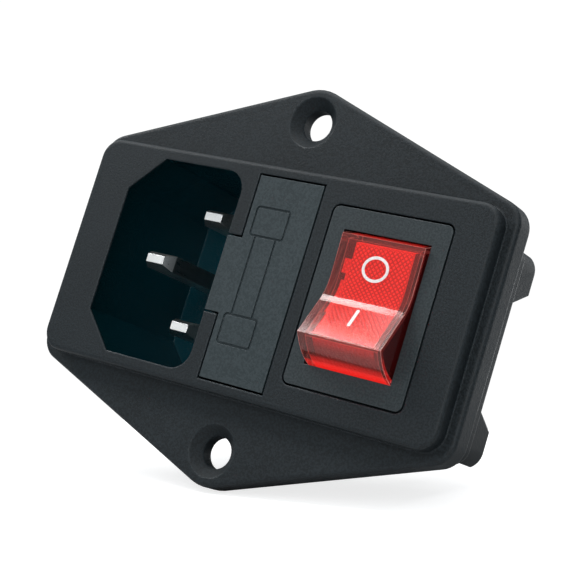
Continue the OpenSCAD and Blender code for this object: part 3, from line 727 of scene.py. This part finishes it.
# %% [markdown]
# ## Pyramids on the reflector
# The real reflector's face is cut into rows of small pyramids, which show through the clear
# cap. A bump alone is flat from the side, so they are made as real shapes: a grid is turned by
# 45 degrees, trimmed to the face, and wrapped onto the reflector, so that it follows both
# slopes and the crease. Poking its faces then raises a peak in the middle of each. The left
# edge lies further in, because the reflector is set back there at its upper corner.
#
# The grid stands up facing the front, a little before the reflector, and is wide enough for its
# slanting sides to pass outside the face on all four sides.

# %% Pyramids on the reflector
grid_count = 46
grid_front = -6 * mm

clear_selection()
bpy.ops.mesh.primitive_grid_add(x_subdivisions=grid_count, y_subdivisions=grid_count,
                                size=grid_count * prism_pitch)
prisms = take_active("reflector_prisms")
slanted = Matrix.Rotation(math.radians(45), 4, "Z")
upright = Matrix.Rotation(math.radians(90), 4, "X")
prisms.data.transform(upright @ slanted)
prisms.data.transform(Matrix.Translation((0, grid_front, 0)))
print("grid faces", len(prisms.data.polygons))

# %% [markdown]
# Four cuts trim the turned grid, each one taking away what lies outside its plane. Bisect joins
# points closer than its threshold. Its usual 0.1 mm is about a quarter of a pyramid, so a much
# smaller one is given.

# %% Trim the grid
prism_left = -3.6 * mm
prism_right = 3.88 * mm
prism_end = 5.7 * mm
same_point = 0.001 * mm

face_cuts = [
    ((prism_right, 0, 0), (1, 0, 0)),
    ((prism_left, 0, 0), (-1, 0, 0)),
    ((0, 0, prism_end), (0, 0, 1)),
    ((0, 0, -prism_end), (0, 0, -1)),
]
bpy.ops.object.mode_set(mode="EDIT")
for cut_place, cut_normal in face_cuts:
    bpy.ops.mesh.select_all(action="SELECT")
    bpy.ops.mesh.bisect(plane_co=cut_place, plane_no=cut_normal, clear_outer=True,
                        threshold=same_point)
bpy.ops.object.mode_set(mode="OBJECT")
print("trimmed faces", len(prisms.data.polygons))

# %% [markdown]
# The sheet is laid in front of the rocker, pressed back onto the reflector by a Shrinkwrap
# modifier that looks along its own Y, and then poked. A value stored at each point says where
# the peaks are, so that the finish can glow most there.

# %% Wrap the grid and raise the peaks
prism_gap = 0.02 * mm
prism_height = 0.12 * mm

prisms.matrix_world = rocker_place
wrap = prisms.modifiers.new("onto_reflector", "SHRINKWRAP")
wrap.target = nodes["rocker_reflector"]
wrap.wrap_method = "PROJECT"
wrap.use_project_y = True
wrap.use_negative_direction = False
wrap.use_positive_direction = True
wrap.offset = prism_gap
bpy.ops.object.modifier_apply(modifier=wrap.name)
bpy.ops.object.transform_apply(location=True, rotation=True, scale=True)

flat_count = len(prisms.data.vertices)
bpy.ops.object.mode_set(mode="EDIT")
bpy.ops.mesh.select_all(action="SELECT")
bpy.ops.mesh.poke(offset=prism_height)
bpy.ops.object.mode_set(mode="OBJECT")
point_count = len(prisms.data.vertices)
peak = prisms.data.attributes.new("peak", "FLOAT", "POINT")
peak.data.foreach_set("value", [float(k >= flat_count) for k in range(point_count)])
print("prisms", len(prisms.data.polygons), "peaks", point_count - flat_count)

# %% [markdown]
# The pyramids are the same red as the reflector, with painted shade in the grooves and a painted highlight and
# stronger glow at the peaks.

# %% Finish of the pyramids
prism_red, prism_tree, prism_shader = blank_finish("prism_red")
prism_value = prism_tree.nodes.new("ShaderNodeAttribute")
prism_value.attribute_name = "peak"
prism_peak = prism_value.outputs["Fac"]
# Painted shade and highlight: the base colour runs from dark red in the grooves to bright red at the peaks.
feed(prism_shader, "Base Color",
     mix_colours(prism_tree, prism_peak, (0.45, 0.015, 0.012), (0.95, 0.12, 0.09)))
feed(prism_shader, "Emission Color",
     mix_colours(prism_tree, prism_peak, (0.25, 0.006, 0.004), (1.0, 0.10, 0.07)))
feed(prism_shader, "Roughness",
     math_node(prism_tree, "MULTIPLY_ADD", prism_peak, 0.2, 0.2))
prism_shader.inputs["Emission Strength"].default_value = 0.95
prisms.data.materials.append(prism_red)
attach(prisms, "rocker")

# %% [markdown]
# ## O and I marks
# The two switch marks are printed in white on the cap's faces. Each is a real thin piece: a
# washer for the O and a slim bar for the I, laid on the face and riding on the rocker. They
# are first made flat at the origin, then placed on their face by one matrix. Printing ink is
# opaque and a little uneven, so it takes a fine speckle of the mould grain.

# %% Ink
mark_along = 3.05 * mm
mark_lift = 0.03 * mm
ink_thickness = 0.04 * mm

ink, ink_tree, ink_shader = blank_finish("mark_white")
ink_grain = use_group(ink_tree, grain_group, Size_mm=0.15)
feed(ink_shader, "Base Color", mix_colours(ink_tree, ink_grain.outputs["Speckle"],
                                           (0.80, 0.72, 0.70), (0.93, 0.88, 0.86)))
ink_shader.inputs["Roughness"].default_value = 0.5
print("ink", ink.name)

# %% [markdown]
# The O starts as a flat disc, a little wider than it is high. Its two round faces are inset and
# bridged to each other, which opens the hole and leaves a closed ring.

# %% The O mark
ring_radius = 1.7 * mm
ring_squeeze = 0.87
ring_line = 0.34 * mm

clear_selection()
bpy.ops.mesh.primitive_cylinder_add(vertices=64, radius=ring_radius, depth=ink_thickness)
ring = take_active("mark_o")
bpy.ops.object.mode_set(mode="EDIT")
bpy.ops.transform.resize(value=(1, ring_squeeze, 1))
bpy.ops.mesh.select_mode(type="FACE")
bpy.ops.mesh.select_all(action="DESELECT")
shape = bmesh.from_edit_mesh(ring.data)
for face in shape.faces:
    face.select_set(abs(face.normal.z) > 0.9)
bmesh.update_edit_mesh(ring.data)
bpy.ops.mesh.inset(thickness=ring_line)
bpy.ops.mesh.bridge_edge_loops()
bpy.ops.object.mode_set(mode="OBJECT")
ring.data.transform(on_face(mark_along, 1, mark_lift))
ring.data.materials.append(ink)
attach(ring, "rocker")
print("O faces", len(ring.data.polygons))

# %% [markdown]
# The I is a slim bar. Its four upright edges are bevelled, which rounds its ends as a printed
# line has them.

# %% The I mark
bar_width = 0.38 * mm
bar_length = 2.4 * mm
bar_corner = 0.12 * mm

clear_selection()
bpy.ops.mesh.primitive_cube_add(size=1)
bar = take_active("mark_i")
bar.data.transform(Matrix.Diagonal((bar_width, bar_length, ink_thickness, 1)))
bpy.ops.object.mode_set(mode="EDIT")
bpy.ops.mesh.select_mode(type="EDGE")
bpy.ops.mesh.select_all(action="DESELECT")
shape = bmesh.from_edit_mesh(bar.data)
for edge in shape.edges:
    edge.select_set(abs(edge.verts[0].co.z - edge.verts[1].co.z) > ink_thickness / 2)
bmesh.update_edit_mesh(bar.data)
bpy.ops.mesh.bevel(offset=bar_corner, segments=3, affect="EDGES")
bpy.ops.object.mode_set(mode="OBJECT")
bar.data.transform(on_face(mark_along, -1, mark_lift))
bar.data.materials.append(ink)
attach(bar, "rocker")
print("I faces", len(bar.data.polygons))
